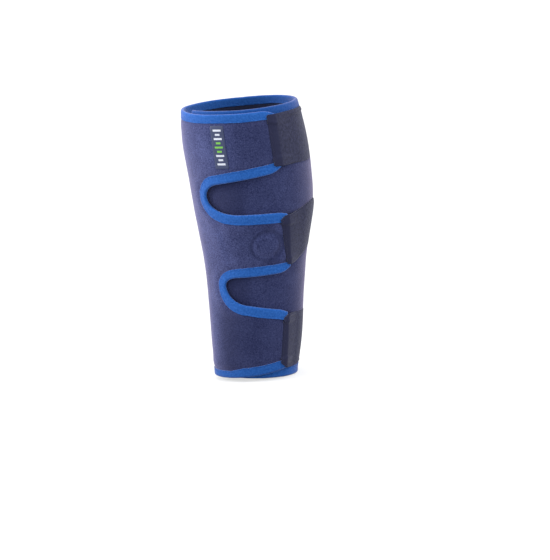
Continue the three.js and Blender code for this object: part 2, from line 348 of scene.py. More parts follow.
# %% [markdown]
# ## The neoprene panel, cut flat
# The panel starts as a flat grid, as the laminate lies on the cutting table. The grid is finer where the
# flap will be, because that is where the cut-outs and the tabs are. The faces inside the cut-outs are
# selected by their place and deleted, and the ragged rim that is left is drawn onto the cut line.

# %% A flat grid
PANEL_COLUMNS, PANEL_ROWS = 240, 136
FLAP_SHARE = 0.4


def flat_sheet(name, columns, rows):
    """A flat grid one unit square, as cloth lies on the cutting table."""
    bpy.ops.object.select_all(action="DESELECT")
    bpy.ops.mesh.primitive_grid_add(x_subdivisions=columns, y_subdivisions=rows, size=1)
    sheet = bpy.context.object
    sheet.name = name
    sheet.data.name = name
    return sheet


def read(items, name, columns=1, kind=int):
    """What a mesh's vertices, edges, corners or faces have under a name, as an array."""
    found = np.empty((len(items), columns), kind)
    items.foreach_get(name, found.ravel())
    return found if columns > 1 else found[:, 0]


def shares(sheet):
    """Each vertex's place on the flat sheet, from 0 to 1 along it and from 0 to 1 up it."""
    points = read(sheet.data.vertices, "co", 3, np.float32).astype(float) + 0.5
    return points[:, 0], points[:, 1]


def note(sheet, **values):
    """Writes numbers on the vertices, so that they outlast cutting and thickening."""
    for name, value in values.items():
        attribute = sheet.data.attributes.new(name, "FLOAT", "POINT")
        attribute.data.foreach_set("value", value.astype(np.float32))


def noted(sheet, name):
    return read(sheet.data.attributes[name].data, "value", kind=np.float32).astype(float)


panel = flat_sheet("wrap_panel", PANEL_COLUMNS, PANEL_ROWS)
along, up = shares(panel)
body_turn = START_TURN + (FLAP_FROM - START_TURN) * along / (1 - FLAP_SHARE)
flap_turn = FLAP_FROM + (end_turn(HEIGHT * up) - FLAP_FROM) * (along - 1 + FLAP_SHARE) / FLAP_SHARE
turn = np.where(along < 1 - FLAP_SHARE, body_turn, flap_turn)
upper, curl = upper_edge(turn)
low_cut = lower_edge(turn) + FOLD
height = low_cut + (upper + CUT_CURL * curl - FOLD - low_cut) * up
note(panel, turn=turn, height=height)
print("grid of", len(panel.data.polygons), "faces")

# %% Open the cut-outs
RAGGED = 2.5
END_TURNS_KEPT = 0.5


def delete_faces(sheet, chosen):
    """Selects faces in code and deletes them in edit mode."""
    bpy.ops.object.mode_set(mode="EDIT")
    bpy.ops.mesh.select_mode(type="FACE")
    bpy.ops.mesh.select_all(action="DESELECT")
    bpy.ops.object.mode_set(mode="OBJECT")
    sheet.data.polygons.foreach_set("select", chosen)
    bpy.ops.object.mode_set(mode="EDIT")
    bpy.ops.mesh.delete(type="FACE")
    bpy.ops.object.mode_set(mode="OBJECT")


def rim_vertices(sheet):
    """The vertices on the sheet's open edges."""
    used = read(sheet.data.loops, "edge_index")
    ends = read(sheet.data.edges, "vertices", 2)
    return np.unique(ends[np.bincount(used, minlength=len(ends)) == 1])


corners = read(panel.data.polygons, "vertices", 4)
delete_faces(panel, bound_distance(turn[corners].mean(axis=1), height[corners].mean(axis=1)) < FOLD)

turn, height = noted(panel, "turn"), noted(panel, "height")
rim = rim_vertices(panel)
for name in CUTOUTS:
    path = EDGES[name + "_cutout"]
    nearest, distance, into = edge_offset(turn[rim], height[rim], path)
    before_end = turn[rim] < end_turn(height[rim]) - END_TURNS_KEPT
    ragged = (np.abs(distance - FOLD) < RAGGED) & before_end
    moved, station, push = rim[ragged], nearest[ragged], (FOLD - into)[ragged]
    turn[moved] += push * path["in_turn"][station] / path["scale"][station]
    height[moved] += push * path["in_height"][station]
    print(name, "cut-out:", len(moved), "vertices drawn onto the cut line")

# %% [markdown]
# ## Where the hook tape goes
# A piece of hook tape is sewn over the end of each tab and reaches on over the layer below. The tape is
# stiff and the leg is a cone, so its edges bend up or down as it goes round. Its corners on the tab are
# trimmed slanting, clear of the binding. The cloth under it is pressed flat, so its outline is needed
# before the panel gets its relief. Each pair in the table is for the lower edge and for the upper one.

# %% Outline of the hook tape
HOOK_LENGTH = 70.0
HOOK_ROUNDING = 0.1
HOOK_BORDER = (-1.0, 1.5)
TRIM_SLANT = 1.4
HOOK_COLUMNS = ("turn", "height", "rise", "trim", "lift")
HOOK_ROWS = {
    "upper": ((381.3, 382.6), (213.5, 265), (-0.7, 0.3), (1.2, 1.2), 0),
    "middle": ((392.7, 382.1), (113, 163.5), (15, 8.9), (1.2, 4.0), 0.6),
    "lower": ((389, 390.5), (7, 61.7), (2, -2.4), (5.2, 3.2), 0),
}
HOOK_TABS = {name: dict(zip(HOOK_COLUMNS, row)) for name, row in HOOK_ROWS.items()}


def mix(pair, share):
    return pair[0] + (pair[1] - pair[0]) * share


def hook_height(row):
    low, high = row["height"]
    return high - low


def trimmed(row, up):
    """Millimetres of tape that are trimmed off at the corners of the sewn end."""
    low_corner = np.maximum(0, row["trim"][0] - up * hook_height(row))
    high_corner = np.maximum(0, row["trim"][1] - (1 - up) * hook_height(row))
    return TRIM_SLANT * (low_corner + high_corner)


def hook_place(row, along, up):
    """Turn and height of a place on a hook tab, from its shares along and up."""
    height = mix(row["height"], up) + mix(row["rise"], up) * smooth_step(along, 0, 1)
    first = mix(row["turn"], up)
    free_end = HOOK_LENGTH * (1 - HOOK_ROUNDING * np.abs(2 * up - 1) ** 4)
    return first + mix((trimmed(row, up), free_end), along) / degree_length(first, height), height


def under_hooks(turn, height):
    """1 where a hook tab lies on the cloth, and 0 elsewhere, with a soft border."""
    cover = np.zeros(len(turn))
    for row in HOOK_TABS.values():
        low, high = row["height"]
        first = mix(row["turn"], np.clip((height - low) / (high - low), 0, 1))
        along = (turn - first) * degree_length(first, height) / HOOK_LENGTH
        bent = smooth_step(along, 0, 1)
        above_low = height - low - row["rise"][0] * bent
        below_high = high + row["rise"][1] * bent - height
        from_ends = HOOK_LENGTH * np.minimum(along, 1 - along)
        inside = np.minimum(np.minimum(above_low, below_high), from_ends)
        cover = np.maximum(cover, smooth_step(inside, *HOOK_BORDER))
    return cover


for name, row in HOOK_TABS.items():
    print(name, "hook tape is", HOOK_LENGTH, "by", hook_height(row), "mm")

# %% [markdown]
# ## The relief of the panel
# The outer face of the worn panel isn't smooth: it is squeezed under the tapes and swells beside them,
# a round under the cloth stands up on the middle tab, a soft fold runs between the tips of the cut-outs,
# and foam is never quite even. These are vertex moves in code, because the amounts are known from
# looking closely, and a simulation would have to be steered to give them.

# %% Relief of the outer face
PRESSED_DEEP, PRESSED_REACH = 0.5, (7.5, 12.0)
SWELL, SWELL_AT, SWELL_REACH = 0.4, 14.5, 4.5
HOOK_PRESSED = 0.75
ROUND = {"turn": 370.4, "height": 134.4, "half_width": 13.6, "half_height": 12.0}
ROUND_RISE, ROUND_SLOPE = 1.0, (0.55, 1.05)
GROOVE_DEEP, GROOVE_AT, GROOVE_REACH = 0.35, 1.14, 0.2
SOFT_FOLD = {"from": (316.5, 160.0), "to": (326.0, 110.0), "rise": 0.55}
FOLD_FADE, FOLD_CLIMB, FOLD_FALL = 14.0, 16.0, 6.0
LUMPS = ((0.3, 38.0), (0.13, 13.0))


def squeeze(distance):
    """Pressed flat under the tape, swollen beside it."""
    pressed = PRESSED_DEEP * (1 - smooth_step(distance, *PRESSED_REACH))
    return SWELL * bell(distance, SWELL_AT, SWELL_REACH) - pressed


def round_place(turn, height):
    """How far a place is from the middle of the round, sideways and up. Its edge is 1 away."""
    sideways = (turn - ROUND["turn"]) * degree_length(turn, height) / ROUND["half_width"]
    return sideways, (height - ROUND["height"]) / ROUND["half_height"]


def raised_round(turn, height):
    """The round and the shallow groove beside it."""
    radius = np.hypot(*round_place(turn, height))
    groove = GROOVE_DEEP * bell(radius, GROOVE_AT, GROOVE_REACH)
    return ROUND_RISE * (1 - smooth_step(radius, *ROUND_SLOPE)) - groove


def soft_fold(turn, height):
    """A ridge that climbs slowly from the shin side and falls off faster towards the tabs."""
    (high_turn, high), (low_turn, low) = SOFT_FOLD["from"], SOFT_FOLD["to"]
    line = low_turn + (high_turn - low_turn) * (height - low) / (high - low)
    off = (turn - line) * degree_length(turn, height)
    fade = hill(height, (low - FOLD_FADE, low + FOLD_FADE), (high - FOLD_FADE, high + FOLD_FADE))
    return SOFT_FOLD["rise"] * fade * hill(off, (-FOLD_CLIMB, 0), (0, FOLD_FALL))


def unevenness(points, size):
    """Soft lumps of about the given size in millimetres, from -1 to 1, the same on every run."""
    return np.array([noise.noise(Vector(point) / (size * MM)) for point in points])


def outer_relief(turn, height):
    """How far the outer face stands proud of a plain sheet, in millimetres."""
    plain = wrap_point(turn, height, np.full(len(turn), NEOPRENE_THICK))
    lumps = sum(high * unevenness(plain, size) for high, size in LUMPS)
    covered = np.maximum(under_hooks(turn, height), under_hooks(turn + 360, height))
    on_flap = raised_round(turn, height) + soft_fold(turn, height)
    open_face = squeeze(bound_distance(turn, height)) + lumps + np.where(turn > FLAP_FROM, on_flap, 0)
    return open_face * (1 - covered) - HOOK_PRESSED * covered


relief = outer_relief(turn, height)
print("relief of the outer face in mm, from", relief.min().round(2), "to", relief.max().round(2))

# %% [markdown]
# ## Painted light and shade on the loop cloth
# The navy cloth gets painted light and shade in its colour. A number on each vertex, from 0 to 1, mixes
# its yarn colours towards a dark third colour. Less of it is painted light, on the shin side and beside
# the round. More is painted shade, on the start of the under layer in the flap's shadow, on the lower
# tab, round the raised round and in a dark line beside the tapes. The finish reads it later. A pair
# of places below is where a change starts and ends, or else the middle and half width of a bell.

# %% Painted shade under the flap, on the lower tab and beside the tapes
SHIN_TURNS = ((180, 265), (305, 380))
UNDER_FLAP_SHADE, UNDER_FLAP_SHADE_GROWS, UNDER_FLAP_SHADE_ENDS = (0.54, 0.72), (-52, -30), (-22, 18)
LOWER_TAB_SHADE, LOWER_TAB_SHADE_TURNS = 0.53, (288, 318)
LOWER_TAB_BAND_SHADE, LOWER_TAB_BAND_TURNS = 0.13, (326, 14)
LOWER_TAB_TOP = (58, 90)
TAPE_EDGE_SHADE, TAPE_EDGE_SHADE_REACH = (0.62, 0.17), (TAPE_WIDTH + 0.8, 1.0)

distance = bound_distance(turn, height)
on_flap = turn > FLAP_FROM
shin_side = hill(turn, *SHIN_TURNS)
# Painted shade on the start of the under layer, where the flap's edge shades it
shaded = mix(UNDER_FLAP_SHADE, smooth_step(turn, *UNDER_FLAP_SHADE_GROWS)) * (1 - smooth_step(turn, *UNDER_FLAP_SHADE_ENDS))
# Painted shade on the lower tab, darker towards the bottom of the flap
lower_tab_shade_by_turn = LOWER_TAB_SHADE * smooth_step(turn, *LOWER_TAB_SHADE_TURNS) + LOWER_TAB_BAND_SHADE * bell(turn, *LOWER_TAB_BAND_TURNS)
lower_tab_shade = lower_tab_shade_by_turn * on_flap * (1 - smooth_step(height, *LOWER_TAB_TOP))
# Painted shade in a dark line just beside the tape's edge, fainter on the shin side
shade_beside_tape = mix(TAPE_EDGE_SHADE, shin_side) * bell(distance, *TAPE_EDGE_SHADE_REACH)
print("pile is up to", shaded.max().round(2), "flat where the flap has rubbed it")

# %% Painted light and shade at the raised round, and all of it together
ROUND_RING_SHADE, ROUND_RING_SHADE_AT = 0.64, (1.2, 0.2)
ROUND_END_SHADE, ROUND_END_SHADE_SIDEWAYS, ROUND_END_SHADE_HEIGHTS = 0.6, (0.1, 0.9), ((0.85, 1.15), (1.7, 2.3))
SLOPE_LIGHT_RING, SLOPE_LIGHT_SIDE = (0.93, 0.15), (0.2, 0.7)
ROUND_SIDE_SHADE, ROUND_SIDE_HIGHLIGHT = 0.7, 0.5
BESIDE_ROUND_LIGHT, BESIDE_ROUND_LIGHT_TURNS, BESIDE_ROUND_LIGHT_HEIGHTS = 0.4, (353, 368), ((88, 108), (168, 184))
BASE_DARK_SHARE = 0.54
UNDER_LAYER_LIGHT, UNDER_LAYER_LIGHT_TURNS = 0.14, (30, 65)

sideways, upwards = round_place(turn, height)
radius = np.hypot(sideways, upwards)
# Painted shade in a ring round the raised round
groove = ROUND_RING_SHADE * on_flap * bell(radius, *ROUND_RING_SHADE_AT)
# Painted shade above and below the raised round
shade_above_below_round = ROUND_END_SHADE * on_flap * bell(sideways, *ROUND_END_SHADE_SIDEWAYS) * hill(np.abs(upwards), *ROUND_END_SHADE_HEIGHTS)
rim_of_round = on_flap * bell(radius, *SLOPE_LIGHT_RING)
# Painted shade on the round's slope on the tab side, and a painted highlight on its shin-side slope
shade_on_round_tab_side = ROUND_SIDE_SHADE * rim_of_round * smooth_step(sideways, *SLOPE_LIGHT_SIDE)
highlight_on_round_shin_side = ROUND_SIDE_HIGHLIGHT * rim_of_round * smooth_step(-sideways, *SLOPE_LIGHT_SIDE)
# Painted light on the middle tab beside the round
light_beside_round = BESIDE_ROUND_LIGHT * smooth_step(turn, *BESIDE_ROUND_LIGHT_TURNS) * hill(height, *BESIDE_ROUND_LIGHT_HEIGHTS)
# Painted light on the under layer
light_on_under_layer = UNDER_LAYER_LIGHT * (1 - smooth_step(turn, *UNDER_LAYER_LIGHT_TURNS))
# The cloth's own share of the dark colour, lowered for painted light on the shin side, the under layer,
# beside the round and on its slope
base_with_painted_light = BASE_DARK_SHARE * (1 - shin_side) * (1 - light_on_under_layer) * (1 - light_beside_round) * (1 - highlight_on_round_shin_side)
painted_shade_share = np.maximum.reduce([base_with_painted_light, shaded, lower_tab_shade, groove, shade_above_below_round, shade_on_round_tab_side, shade_beside_tape])
# Painted light and shade go on the vertices: 0 is the lightest, 1 the full painted shade colour
note(panel, pressed=painted_shade_share)
print("pile from", painted_shade_share.min().round(2), "standing to", painted_shade_share.max().round(2), "flat")

# %% [markdown]
# ## Wound on, with its thickness
# The vertices now go to their places on the leg, and the flat cut is kept as the UV map. Solidify gives
# the sheet its thickness behind the outer face, and gives the lining and the cut edge slots of their
# own. The relief belongs to the outer face alone, so the inner face is put back against the leg after.

# %% Wind it on and give it its thickness
CLOTH_PER_DEGREE = 0.97


def move(sheet, points):
    sheet.data.vertices.foreach_set("co", points.astype(np.float32).ravel())
    sheet.data.update()


def lay(sheet, points, flat_along, flat_up):
    """Moves the vertices to their places, and keeps the flat cut as the UV map, in metres."""
    move(sheet, points)
    corner = read(sheet.data.loops, "vertex_index")
    flat = np.stack([flat_along[corner], flat_up[corner]], axis=1) * MM
    sheet.data.uv_layers[0].data.foreach_set("uv", flat.astype(np.float32).ravel())


def thicken(sheet, thickness, offset):
    """Solidify, applied. An offset of -1 puts the thickness behind the face, and 0 on both sides."""
    bpy.ops.object.modifier_add(type="SOLIDIFY")
    wall = sheet.modifiers[-1]
    wall.thickness = thickness * MM
    wall.offset = offset
    wall.use_even_offset = True
    wall.material_offset = 1
    wall.material_offset_rim = 2
    bpy.ops.object.modifier_apply(modifier=wall.name)
    bpy.ops.object.shade_smooth()


outer_face = wrap_point(turn, height, NEOPRENE_THICK + relief)
inner_face = wrap_point(turn, height, -np.minimum(0, squeeze(distance)))
lay(panel, outer_face, turn * CLOTH_PER_DEGREE, height)
# Empty slots for the outer face, the lining and the cut edge
for _ in range(3):
    panel.data.materials.append(None)
thicken(panel, NEOPRENE_THICK, -1)
# Solidify keeps the outer vertices first and adds the inner ones after them
move(panel, np.concatenate([outer_face, inner_face]))

# %% [markdown]
# ## Binding tape
# A strip of knitted tape is folded over each edge and sewn through, so one function folds a flat strip
# along any of the four edges. Across its width the strip is a leg on the outer face, a half round over
# the edge, and a leg on the inner face. The legs follow the squeezed neoprene, so the tape lies flat.
# The seam pulls it down in small dimples, and its cut edges wander a little as hand-fed tape does. The
# rims get painted shade: the upper one where it runs under the flap, the lower one a little all along.

# %% Section of a folded strip
TAPE_GAP = 0.08
TAPE_HALF = NEOPRENE_THICK / 2 - PRESSED_DEEP + TAPE_THICK / 2 + TAPE_GAP
FOLD_IN = TAPE_HALF + TAPE_THICK / 2
SEAM_IN = 1.7
STITCH_PITCH = 4.2
SEAM_REACH, SEAM_DEEP, INNER_SEAM_DEEP, PLUMP = 0.7, 0.28, 0.1, 0.14
DIMPLE_SHARE = 0.4


def strip_width(width):
    """Flat width of the strip that covers both faces to the given width."""
    return 2 * (width - FOLD_IN) + math.pi * TAPE_HALF


def fold_section(wide, width):
    """Inset from the edge, depth, and angle round the fold, at a place across the strip."""
    leg = width - FOLD_IN
    angle = np.clip((wide - leg) / TAPE_HALF, 0, math.pi)
    on_leg = np.maximum(0, leg - wide) + np.maximum(0, wide - leg - math.pi * TAPE_HALF)
    inset = FOLD_IN - TAPE_HALF * np.sin(angle) + on_leg
    half = TAPE_HALF + squeeze(inset) - squeeze(0.0)
    return inset, NEOPRENE_THICK / 2 + half * np.cos(angle), angle


def tape_relief(wide, width, at):
    """Seam dimples and a plump middle on the outer leg. The leg against the skin stays flat."""
    flat = strip_width(width)
    dimple = SEAM_DEEP * (1 - DIMPLE_SHARE + DIMPLE_SHARE * np.cos(2 * math.pi * at / STITCH_PITCH))
    plump = PLUMP * np.sin(math.pi * np.clip((wide - SEAM_IN) / (flat / 2 - SEAM_IN), 0, 1))
    inner_seam = INNER_SEAM_DEEP * bell(wide, flat - SEAM_IN, SEAM_REACH)
    return plump - dimple * bell(wide, SEAM_IN, SEAM_REACH) - inner_seam


print("to cover", TAPE_WIDTH, "mm, a strip is cut", round(strip_width(TAPE_WIDTH), 1), "mm wide")

# %% Fold a strip along an edge
TAPE_STEPS = 30
EDGE_SLOW, EDGE_QUICK, FACE_WANDER = (0.3, 9.0), (0.22, 2.6), (0.1, 7.0)
SEED_STEP = 3.7
RIM_SHADE_TURNS = (80, 280)
TAPE_RIM_SHADE = {"upper_rim": (0.42, 0), "lower_rim": (0.1, 0.15)}


def wander(at, kind, seed):
    """An even wander along an edge. Its kind is how far and how slowly, in millimetres."""
    far, slow = kind
    return far * np.array([noise.noise(Vector((step / slow, seed, 0.5))) for step in at])


def tape_place(path, at, wide, lift):
    """A point on a folded tape, at places along and across it, lifted off its middle."""
    width = np.interp(at, path["at"], path["width"])
    inset, depth, angle = fold_section(wide, width)
    out = tape_relief(wide, width, at) + lift
    turn, height = in_from(path, at, inset - out * np.sin(angle))
    return wrap_point(turn, height, depth + out * np.cos(angle))


def fold_tape(edge, path, seed):
    stations = len(path["at"]) - 1
    strip = flat_sheet(edge + "_tape", stations, TAPE_STEPS)
    along, across = shares(strip)
    station = np.rint(along * stations).astype(int)
    at = path["at"][station]
    uneven = wander(path["at"], EDGE_SLOW, seed) + wander(path["at"], EDGE_QUICK, seed + 0.3)
    path["width"] = path["width"] + uneven
    wide = across * strip_width(path["width"][station])
    # Painted shade on the rims of the tape, most where the upper rim runs under the flap
    soiled_from_to = TAPE_RIM_SHADE.get(edge, (0, 0))
    note(strip, soiled=mix(soiled_from_to, smooth_step(path["turn"][station], *RIM_SHADE_TURNS)))
    lift = wander(path["at"], FACE_WANDER, seed + 0.6)[station]
    lay(strip, tape_place(path, at, wide, lift), at, wide)
    thicken(strip, TAPE_THICK, 0)
    mean_width = round(strip_width(path["width"].mean()))
    print(strip.name, "was cut", round(path["at"][-1]), "by", mean_width, "mm")
    return strip


tapes = {edge: fold_tape(edge, path, SEED_STEP * i) for i, (edge, path) in enumerate(EDGES.items())}

# %% [markdown]
# ## Hook tabs
# The hook tape starts on the tab, rides up where the binding runs under it, runs nearly straight from
# the tab's end down to the under layer, and lies on that with its hooks sunk in the loops. It is stiff,
# so it is a thin sheet with few soft forms: a pressed seam at its sewn end and free edges that lift.

# %% Lay the hook tape
HOOK_THICK = 1.0
HOOK_STEPS = (84, 48)
HOOK_SEAM_IN, HOOK_SEAM_DEEP, HOOK_SEAM_REACH = 2.2, 0.2, 0.8
HOOK_GAP = 0.1
FREE_END_LIFT, FREE_END = 0.1, (0.8, 1.0)
EDGE_LIFT_ALONG, EDGE_LIFT_UP = (0.3, 0.6), (0.4, 1.0)
OVER_TAPE = TAPE_THICK + TAPE_GAP + 0.2
TAPE_SLOPE = (9.5, 13.5)
STEP_AFTER, STEP_TURNS = 0.5, 24.0
SEWN_END_SHADE = (4.0, 16.0)


def rest_depth(turn, height):
    """Depth at which a hook tab rests on one layer, on pressed cloth or on tape at its edges."""
    distance = bound_distance(turn, height)
    on_tape = 1 - smooth_step(distance, *TAPE_SLOPE)
    on_cloth = NEOPRENE_THICK + HOOK_GAP - HOOK_PRESSED * (1 - on_tape)
    return on_cloth + (squeeze(distance) + OVER_TAPE) * on_tape


def hook_depth(turn, height):
    """Depth of the underside: on the tab, then in a nearly straight run to the layer below."""
    last_turn = end_turn(height)
    past_end = (turn - last_turn - STEP_AFTER) / STEP_TURNS
    left = (1 - np.clip(past_end, 0, 1)) ** 2
    on_tab = LAYER_STEP + rest_depth(np.minimum(turn, last_turn), height)
    return on_tab * left + rest_depth(turn - 360, height) * (1 - left)


def lay_hook_tab(name, row):
    tab = flat_sheet(name + "_hook_tape", *HOOK_STEPS)
    along, up = shares(tab)
    turn, height = hook_place(row, along, up)
    in_from_end = along * HOOK_LENGTH
    lift = FREE_END_LIFT * smooth_step(along, *FREE_END) * np.abs(2 * up - 1) ** 2
    lift += row["lift"] * smooth_step(along, *EDGE_LIFT_ALONG) * smooth_step(up, *EDGE_LIFT_UP)
    seam = HOOK_SEAM_DEEP * bell(in_from_end, HOOK_SEAM_IN, HOOK_SEAM_REACH)
    out = hook_depth(turn, height) + HOOK_THICK / 2 - seam + lift
    # Painted shade on a band at the sewn end of the hook tape
    note(tab, sewn=1 - smooth_step(in_from_end, *SEWN_END_SHADE))
    lay(tab, leg_point(turn, height, out), in_from_end, height)
    thicken(tab, HOOK_THICK, 0)
    print(tab.name, "has", len(tab.data.polygons), "faces")
    return tab


hook_tabs = {name: lay_hook_tab(name, row) for name, row in HOOK_TABS.items()}

# %% [markdown]
# ## The label
# A thin printed film is pressed onto the upper tab. It carries no words, only a plain scale of ticks.
# The film is a small sheet of its own, laid on the cloth and a little proud of it, with rounded corners,
# and the scale is drawn later in its finish.

# %% Lay the label film
LABEL = {"turn": 335.3, "width": 14.0, "low": 214.5, "high": 257.6, "thick": 0.3, "corner": 1.2}
LABEL_STEPS = (22, 64)
LABEL_GAP = 0.1
CORNER_PULL = 0.7

label = flat_sheet("label_film", *LABEL_STEPS)
label_high = LABEL["high"] - LABEL["low"]
label_sides = np.array([LABEL["width"], label_high])
flat = (np.stack(shares(label), axis=1) - 0.5) * label_sides
# Each corner is pulled in along its diagonal until it is round
past_corner = np.maximum(0, np.abs(flat) - (label_sides / 2 - LABEL["corner"]))
trim = np.maximum(0, np.hypot(*past_corner.T) - LABEL["corner"])
flat -= np.sign(flat) * trim[:, None] * CORNER_PULL
flat_along, flat_up = flat.T
height = LABEL["low"] + label_high / 2 + flat_up
turn = LABEL["turn"] + flat_along / degree_length(np.full_like(height, LABEL["turn"]), height)
label_depth = NEOPRENE_THICK + outer_relief(turn, height) + LABEL_GAP + LABEL["thick"] / 2
lay(label, wrap_point(turn, height, label_depth), flat_along, flat_up)
thicken(label, LABEL["thick"], 0)
print("label film is", LABEL["width"], "by", round(label_high, 1), "mm")

# %% [markdown]
# ## Stitches
# A seam of short stitches holds the tape and the hook tabs. One stitch is modelled by hand as a small
# squeezed ball, pulled out to its length. Hundreds of copies follow the seams, and because each has only
# a few faces they can be joined into one mesh for each colour of thread.

# %% One stitch, then a row of them
STITCH = {"length": 3.0, "width": 0.5, "high": 0.32}
THREAD_PROUD, THREAD_SUNK = 0.05, 0.15
HOOK_SEAM_ENDS = 3.0

bpy.ops.object.select_all(action="DESELECT")
bpy.ops.mesh.primitive_uv_sphere_add(segments=8, ring_count=5, radius=0.5)
model = bpy.context.object
bpy.ops.object.mode_set(mode="EDIT")
bpy.ops.mesh.select_all(action="SELECT")
bpy.ops.transform.resize(value=(STITCH["length"] * MM, STITCH["width"] * MM, STITCH["high"] * MM))
bpy.ops.object.mode_set(mode="OBJECT")
stitch_points = np.array([vertex.co for vertex in model.data.vertices])
stitch_faces = [tuple(face.vertices) for face in model.data.polygons]
bpy.data.objects.remove(model)


def sew(name, seams):
    """One mesh with a stitch at each place of the seams: points, ways along and ways out."""
    points, faces = [], []
    for places, alongs, outs in seams:
        for place, along, out in zip(places, alongs, outs):
            out = out / np.linalg.norm(out)
            side = np.cross(out, along)
            side /= np.linalg.norm(side)
            turned = stitch_points @ np.stack([np.cross(side, out), side, out])
            first = len(points) * len(stitch_points)
            points.append(place + turned)
            faces.extend(tuple(first + corner for corner in face) for face in stitch_faces)
    mesh = bpy.data.meshes.new(name)
    mesh.from_pydata(np.concatenate(points).tolist(), [], faces)
    thread = bpy.data.objects.new(name, mesh)
    bpy.context.scene.collection.objects.link(thread)
    mesh.shade_smooth()
    print(name, "has", len(points), "stitches")
    return thread


def seam_on(place, at):
    """A seam from a function that gives points at millimetres along it and millimetres out."""
    here = place(at, 0.0)
    ways = place(at + 0.5, 0.0) - place(at - 0.5, 0.0)
    return here, ways, place(at, 0.5) - here


def tape_seam(path, inner):
    """The thread on a folded tape, on its outer leg or on its inner one."""
    def place(at, out):
        flat = strip_width(np.interp(at, path["at"], path["width"]))
        wide = flat - SEAM_IN if inner else np.full(len(at), SEAM_IN)
        return tape_place(path, at, wide, TAPE_THICK / 2 + THREAD_PROUD + out)

    return seam_on(place, np.arange(STITCH_PITCH / 2, path["at"][-1] - STITCH_PITCH / 2, STITCH_PITCH))


tape_seams = [tape_seam(path, inner) for path in EDGES.values() for inner in (False, True)]
tape_thread = sew("tape_stitches", tape_seams)

# %% Sew down the hook tabs
def hook_seam(row):
    """A seam up a hook tab, parallel to its sewn end."""
    tall = hook_height(row)

    def place(at, out):
        turn, height = hook_place(row, np.full(len(at), HOOK_SEAM_IN / HOOK_LENGTH), at / tall)
        return leg_point(turn, height, hook_depth(turn, height) + HOOK_THICK - THREAD_SUNK + out)

    return seam_on(place, np.arange(HOOK_SEAM_ENDS, tall - HOOK_SEAM_ENDS, STITCH_PITCH))


hook_thread = sew("hook_stitches", [hook_seam(row) for row in HOOK_TABS.values()])

# %% [markdown]
# ## Finishes
# Every finish is made of nodes. Cloth looks like cloth because its colour is broken up at the size of
# its yarns, so that effect is built once as a node group and placed in each material with its own
# sizes. The group puts out a tone and a height, and each material turns them into its own colour,
# roughness and bump.

# %% Helpers for node groups
def add(tree, kind, inputs=None, **settings):
    """Adds a node, sets it up, and fills its inputs with values or with another node's output."""
    new = tree.nodes.new(kind)
    for name, value in settings.items():
        setattr(new, name, value)
    for name, value in (inputs or {}).items():
        if isinstance(value, bpy.types.NodeSocket):
            tree.links.new(value, new.inputs[name])
        else:
            new.inputs[name].default_value = value
    return new


def maths(tree, operation, a, b=0.0):
    return add(tree, "ShaderNodeMath", {0: a, 1: b}, operation=operation).outputs[0]


def grain(tree, place, scale, detail, roughness=0.5):
    """The level of a noise texture at a place."""
    inputs = {"Vector": place, "Scale": scale, "Detail": detail, "Roughness": roughness}
    return add(tree, "ShaderNodeTexNoise", inputs).outputs["Fac"]


def ramp(tree, value, start, end=(0.0, 1.0)):
    """A value moved from one range to another and held inside it."""
    inputs = {"Value": value, "From Min": start[0], "From Max": start[1]}
    inputs.update({"To Min": end[0], "To Max": end[1]})
    return add(tree, "ShaderNodeMapRange", inputs).outputs["Result"]


def new_group(name, **sizes):
    """An empty node group that takes a place and some sizes, and puts out a tone and a height."""
    group = bpy.data.node_groups.new(name, "ShaderNodeTree")
    group.interface.new_socket("Place", in_out="INPUT", socket_type="NodeSocketVector")
    for size, value in sizes.items():
        made = group.interface.new_socket(size, in_out="INPUT", socket_type="NodeSocketFloat")
        made.default_value = value
    for made in ("Tone", "Height"):
        group.interface.new_socket(made, in_out="OUTPUT", socket_type="NodeSocketFloat")
    return group, group.nodes.new("NodeGroupInput").outputs, group.nodes.new("NodeGroupOutput").inputs


print("helpers for node groups are ready")

# %% The grain of brushed loop cloth
FINE_SHARE = 0.8
PILE_RANGE = (0.34, 0.66)

pile, given, result = new_group("Brushed pile", Grain=650.0, Cloud=45.0)
fine = grain(pile, given["Place"], given["Grain"], detail=3.0, roughness=0.65)
cloud = grain(pile, given["Place"], given["Cloud"], detail=2.0)
fine_part = maths(pile, "MULTIPLY", fine, FINE_SHARE)
cloud_part = maths(pile, "MULTIPLY", cloud, 1 - FINE_SHARE)
pile.links.new(ramp(pile, maths(pile, "ADD", fine_part, cloud_part), PILE_RANGE), result["Tone"])
pile.links.new(fine, result["Height"])
print("group:", pile.name)

# %% The ribs of knitted and woven tape
SPECK_RANGE = (0.32, 0.68)
SPECK_SHARE = 0.75
RIB_HIGH = 0.5

ribs, given, result = new_group("Tape ribs", Along=5000.0, Across=5000.0, Speck=520.0)
apart = add(ribs, "ShaderNodeSeparateXYZ", {"Vector": given["Place"]})
wave_along = maths(ribs, "SINE", maths(ribs, "MULTIPLY", apart.outputs["X"], given["Along"]))
wave_across = maths(ribs, "SINE", maths(ribs, "MULTIPLY", apart.outputs["Y"], given["Across"]))
woven = maths(ribs, "MULTIPLY", wave_along, wave_across)
level = ramp(ribs, woven, (-1.0, 1.0))
specks = grain(ribs, given["Place"], given["Speck"], detail=3.0, roughness=0.6)
speck_part = maths(ribs, "MULTIPLY", ramp(ribs, specks, SPECK_RANGE), SPECK_SHARE)
for rib_share, socket in ((1 - SPECK_SHARE, "Tone"), (RIB_HIGH, "Height")):
    rib_part = maths(ribs, "MULTIPLY", level, rib_share)
    ribs.links.new(maths(ribs, "ADD", rib_part, speck_part), result[socket])
print("group:", ribs.name)

